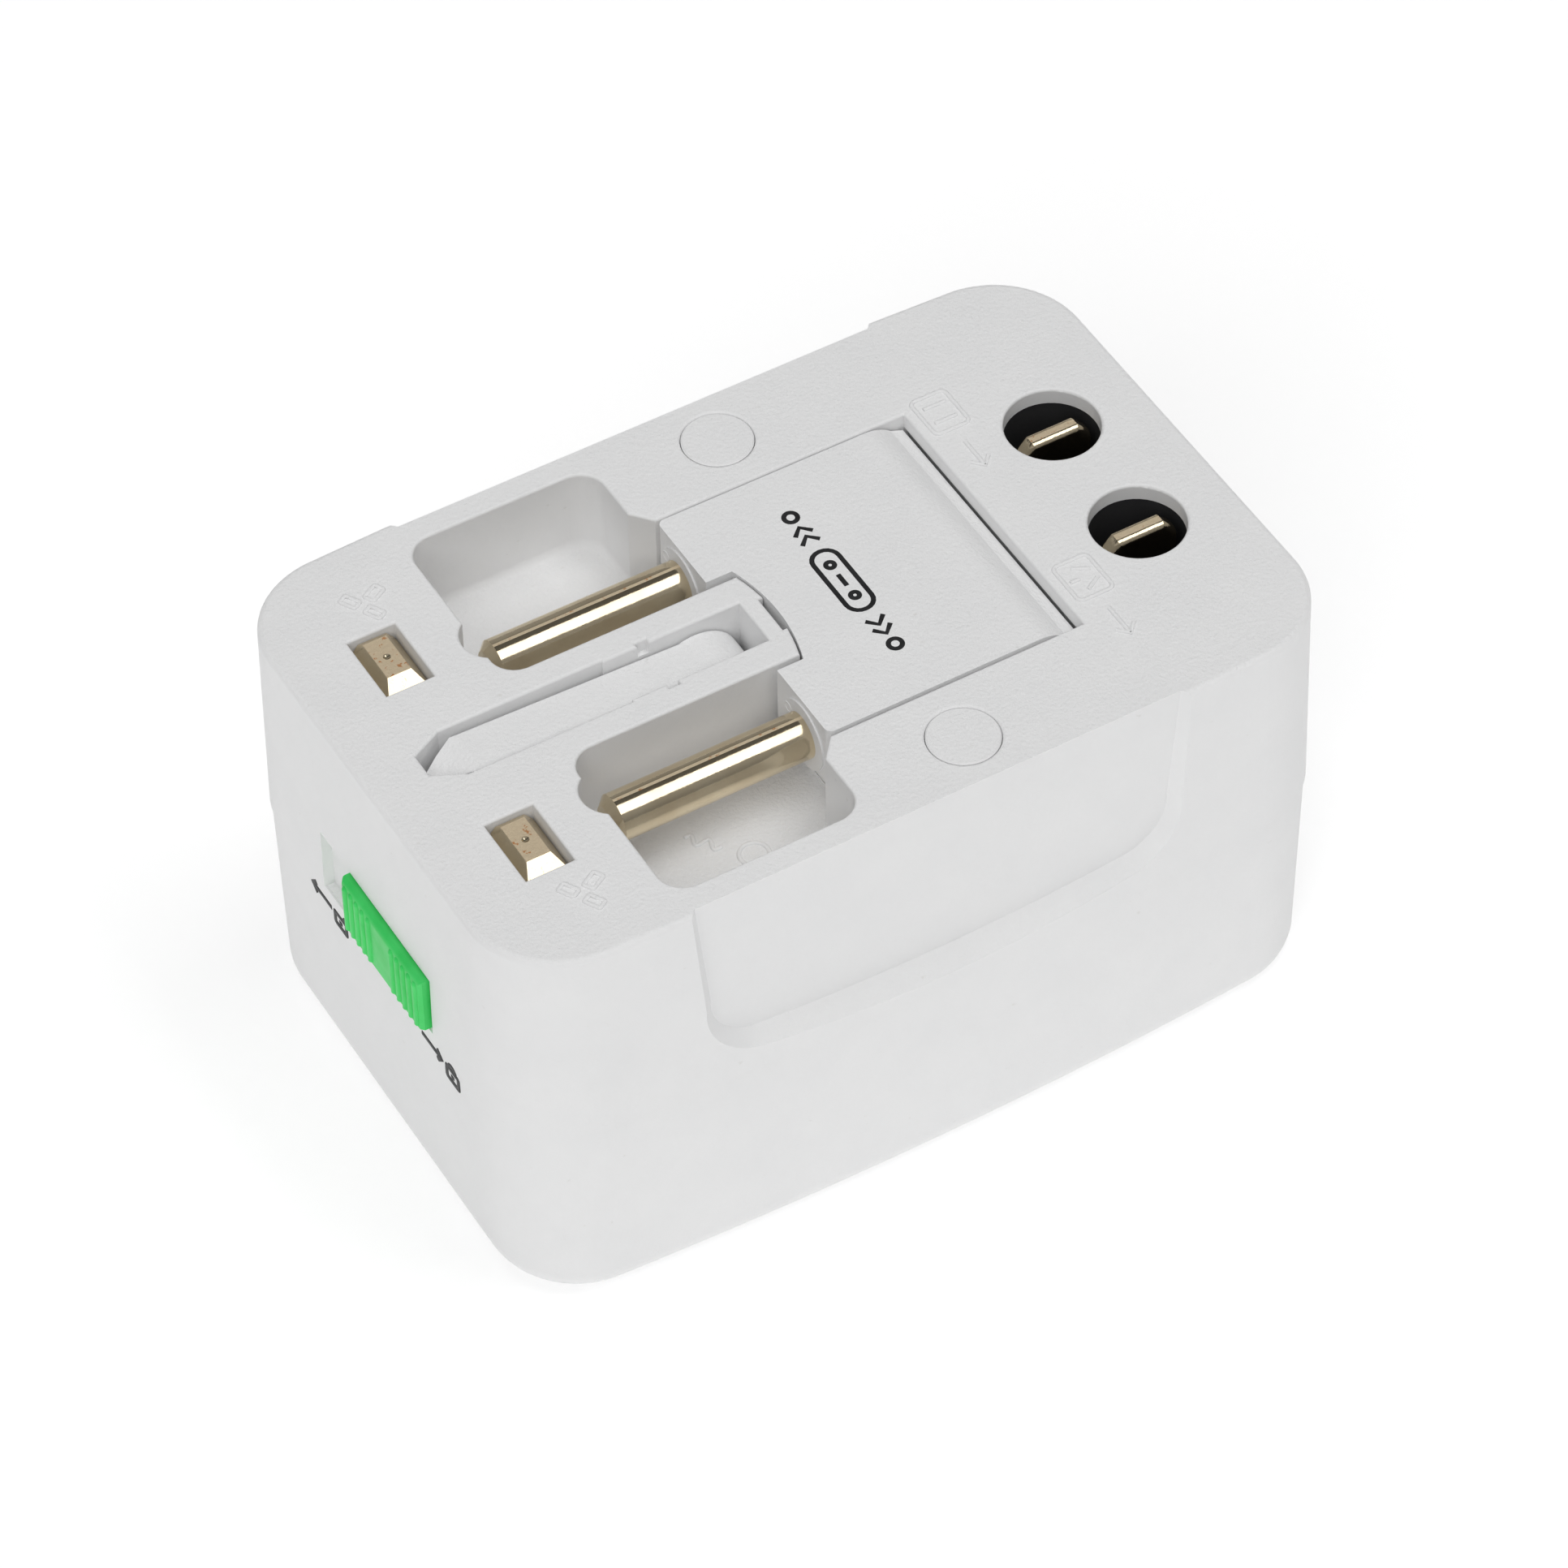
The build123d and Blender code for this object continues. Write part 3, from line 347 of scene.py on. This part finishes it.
def sign(name, strokes, radius, rise, place, body, slot, material):
    """Strokes as low rounded ridges: radius is half a stroke's width, rise its height, in mm."""
    curve = bpy.data.curves.new(name, "CURVE")
    curve.dimensions = "3D"
    curve.bevel_depth = radius * MM
    curve.bevel_resolution = 3
    curve.use_fill_caps = True
    for stroke in strokes:
        closed = math.dist(stroke[0], stroke[-1]) < 1e-6
        points = stroke[:-1] if closed else stroke
        spline = curve.splines.new("POLY")
        spline.points.add(len(points) - 1)
        for point, (x, y) in zip(spline.points, points):
            point.co = (x * MM, y * MM, 0, 1)
        spline.use_cyclic_u = closed
    holder = bpy.data.objects.new(name + "_curve", curve)
    mesh = bpy.data.meshes.new_from_object(holder)
    bpy.data.objects.remove(holder)
    flatten = Matrix.Diagonal((1, 1, rise / radius, 1))
    mesh.transform(place @ flatten)
    mesh.polygons.foreach_set("use_smooth", [True] * len(mesh.polygons))
    mesh.materials.clear()
    mesh.materials.append(material)
    piece = bpy.data.objects.new(name, mesh)
    bpy.context.scene.collection.objects.link(piece)
    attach(piece, body)


def on_face(x, y, z=None, turn_deg=0):
    """Place of a sign that lies on the plug face, or lower at z; x and y in mm, z in metres."""
    height = FACE_Z if z is None else z
    return Matrix.Translation((x * MM, y * MM, height)) @ Matrix.Rotation(math.radians(turn_deg), 4, "Z")


def on_end(y, z):
    """Place of a sign on the -X end, a quarter larger than drawn; y in mm, z in metres."""
    low_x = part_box("lower_shell")[0][0]
    return Matrix.Translation((low_x + 0.02 * MM, y * MM, z)) @ AGAINST_END @ Matrix.Scale(1.25, 4)


def make_blade_signs(emboss):
    """Embossed beside the two round holes: straight pair, and slanted pair with a bar, each with an arrow."""
    blade_low, blade_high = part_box("us_blade_live")
    blade_y = (blade_low[1] + blade_high[1]) / 2 / MM
    label_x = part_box("blade_guide")[0][0] / MM - 1.8
    border = frame_outline((0, 0), 2.1, 1.6, 0.5)
    straight = [bar((-0.9, 0), 2.0, 90), bar((0.9, 0), 2.0, 90), border]
    slanted = [bar((-0.9, 0.35), 1.5, 60), bar((0.9, 0.35), 1.5, 120), bar((0, -0.75), 0.8, 90), border]
    arrow = [[(-1.6, 0), (1.6, 0)], [(0.7, 0.8), (1.6, 0), (0.7, -0.8)]]
    for name, strokes, y in (("straight", straight, blade_y + 5.8), ("slanted", slanted, -blade_y - 3.0)):
        sign("sign_" + name, strokes, place=on_face(label_x, y, turn_deg=-90), **emboss)
        sign("sign_" + name + "_arrow", arrow, place=on_face(label_x, y - 5.4, turn_deg=-90), **emboss)


def make_rectangular_signs(emboss):
    """Embossed beside each window: the pattern of the three rectangular pins."""
    pin_low, pin_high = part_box("uk_pin_live")
    window_x = (pin_low[0] + pin_high[0]) / 2 / MM
    window_y = (pin_low[1] + pin_high[1]) / 2 / MM
    three = [
        frame_outline((0, 0.95), 0.45, 0.75, 0.12),
        frame_outline((-1.15, -0.8), 0.7, 0.4, 0.12),
        frame_outline((1.15, -0.8), 0.7, 0.4, 0.12),
    ]
    for side, name in ((1, "live"), (-1, "neutral")):
        place = on_face(window_x + 1.4, side * (window_y + 6.4), turn_deg=-60)
        sign("sign_rectangular_" + name, three, place=place, **emboss)


def make_pocket_sign(emboss):
    """Plain wave and ring moulded on the floor of the -Y finger pocket."""
    wave_length = 1.5
    steps = [step / 8 for step in range(25)]
    wave = [(x - 3.8, 0.45 * math.sin(x * 2 * math.pi / wave_length)) for x in steps]
    place = on_face(-12.8, -13.4, FACE_Z - POCKET_DEPTH * MM, -48)
    sign("sign_pocket_floor", [wave, ring((1.9, 0), 1.2)], place=place, **emboss)


def print_round_plug(ink):
    """Printed on the swinging block: outline of a round-pin plug with arrows on both sides."""
    plug = [
        frame_outline((0, 0), 3.6, 1.15, 1.1),
        ring((-1.9, 0), 0.35),
        ring((1.9, 0), 0.35),
        [(-0.7, 0), (0.7, 0)],
    ]
    for side in (-1, 1):
        for tail in (4.8, 5.9):
            plug.append([(side * tail, 0.8), (side * (tail + 0.8), 0), (side * tail, -0.8)])
        plug.append(ring((side * 8.0, 0), 0.55))
    sign("print_round_plug", plug, 0.21, 0.02, on_face(5.4, 0.2, turn_deg=-90), "eu_plug", "white_shell", ink)


def print_locks(ink):
    """Printed under the slider: closed and open padlock, each with an arrow that points to it."""
    print_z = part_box("lower_shell")[1][2] - 1.95 * MM
    case = frame_outline((0, -0.35), 0.75, 0.5, 0.1)
    keyhole = bar((0, -0.35), 0.25, 90)
    closed = [case, arc((0, 0.15), 0.45, 0, 180, 10), keyhole]
    opened = [case, arc((0.9, 0.15), 0.45, 0, 180, 10), keyhole]
    pointer = [[(-1.3, 0), (1.3, 0)], [(0.7, 0.5), (1.3, 0), (0.7, -0.5)]]
    back_pointer = [[(-x, y) for x, y in stroke] for stroke in pointer]
    rows = (
        ("closed", closed, -11.9),
        ("to_closed", pointer, -8.6),
        ("opened", opened, 6.6),
        ("to_opened", back_pointer, 9.7),
    )
    for name, strokes, y in rows:
        place = on_end(y, print_z)
        sign("print_lock_" + name, strokes, 0.22, 0.05, place, "housing", "white_shell", ink)


def make_ejector_rings(white):
    """Small rings left by the ejectors, on the block beside each round pin."""
    block_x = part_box("eu_block")[0][0]
    for name, y in (("live", 11.6), ("neutral", -7.4)):
        place = Matrix.Translation((block_x, y * MM, FACE_Z - 2.3 * MM)) @ AGAINST_END
        circle = [ring((0, 0), 0.45)]
        sign("ejector_ring_" + name, circle, 0.08, 0.06, place, "eu_plug", "white_shell", white)


def make_signs(made):
    white = made["white_shell"]
    emboss = {"radius": 0.19, "rise": 0.16, "body": "housing", "slot": "white_shell", "material": white}
    make_blade_signs(emboss)
    make_rectangular_signs(emboss)
    make_pocket_sign(emboss)
    ink = black_ink()
    print_round_plug(ink)
    print_locks(ink)
    make_ejector_rings(white)


# ------------------------------------------------------------------ floor and light
def make_floor():
    mesh = bpy.data.meshes.new("floor")
    corners = [(x * FLOOR_HALF, y * FLOOR_HALF, 0) for x, y in ((-1, -1), (1, -1), (1, 1), (-1, 1))]
    mesh.from_pydata(corners, [], [(0, 1, 2, 3)])
    mesh.materials.append(floor_material())
    floor = bpy.data.objects.new("floor", mesh)
    floor.location.z = WHOLE_LOW[2] - FLOOR_DROP
    bpy.context.scene.collection.objects.link(floor)


def area_light(name, place, size, watts, in_metal):
    """Rectangular light aimed at the plug face; in_metal says whether bright metal mirrors it."""
    data = bpy.data.lights.new(name, "AREA")
    data.energy = watts
    data.shape = "RECTANGLE"
    data.size, data.size_y = size
    lamp = bpy.data.objects.new(name, data)
    lamp.location = place
    away = (Vector(place) - Vector((0, 0, FACE_Z))).normalized()
    across = Vector((0, 1, 0)).cross(away).normalized()
    lamp.rotation_euler = Matrix((across, away.cross(across), away)).transposed().to_euler()
    lamp.visible_glossy = in_metal
    bpy.context.scene.collection.objects.link(lamp)


def make_light():
    """Dome brightest overhead for the plastic; dim cards and one soft box for the bright metal."""
    world = bpy.data.worlds.new("studio")
    world.use_nodes = True
    bpy.context.scene.world = world
    tree = world.node_tree
    back = tree.nodes["Background"]
    back.inputs["Color"].default_value = (1, 1, 1, 1)
    direction = tree.nodes.new("ShaderNodeTexCoord")
    parts = tree.nodes.new("ShaderNodeSeparateXYZ")
    tree.links.new(direction.outputs["Generated"], parts.inputs[0])

    dome = tree.nodes.new("ShaderNodeMapRange")
    dome.inputs["To Min"].default_value = DOME_RIM
    dome.inputs["To Max"].default_value = DOME_TOP
    tree.links.new(parts.outputs["Z"], dome.inputs["Value"])

    along_y = tree.nodes.new("ShaderNodeMapRange")
    along_y.inputs["From Min"].default_value = -1
    tree.links.new(parts.outputs["Y"], along_y.inputs["Value"])
    cards = tree.nodes.new("ShaderNodeValToRGB")
    stops = cards.color_ramp.elements
    stops.remove(stops[1])
    for place, level in METAL_CARDS:
        stop = stops[0] if place == 0 else stops.new(place)
        stop.color = (level, level, level, 1)
    tree.links.new(along_y.outputs["Result"], cards.inputs["Fac"])

    path = tree.nodes.new("ShaderNodeLightPath")
    choose = tree.nodes.new("ShaderNodeMix")
    choose.data_type = "FLOAT"
    tree.links.new(path.outputs["Is Glossy Ray"], choose.inputs["Factor"])
    tree.links.new(dome.outputs["Result"], choose.inputs["A"])
    tree.links.new(cards.outputs["Color"], choose.inputs["B"])
    tree.links.new(choose.outputs["Result"], back.inputs["Strength"])
    area_light("soft_box", SOFT_BOX_AT, SOFT_BOX_SIZE, SOFT_BOX_WATTS, True)
    area_light("key", KEY_AT, KEY_SIZE, KEY_WATTS, False)
    area_light("overhead", OVERHEAD_AT, OVERHEAD_SIZE, OVERHEAD_WATTS, False)
    bpy.context.scene.view_settings.view_transform = "Standard"


# ------------------------------------------------------------------ the scene
make_camera()
make_signs(dress_cad())
make_floor()
make_light()
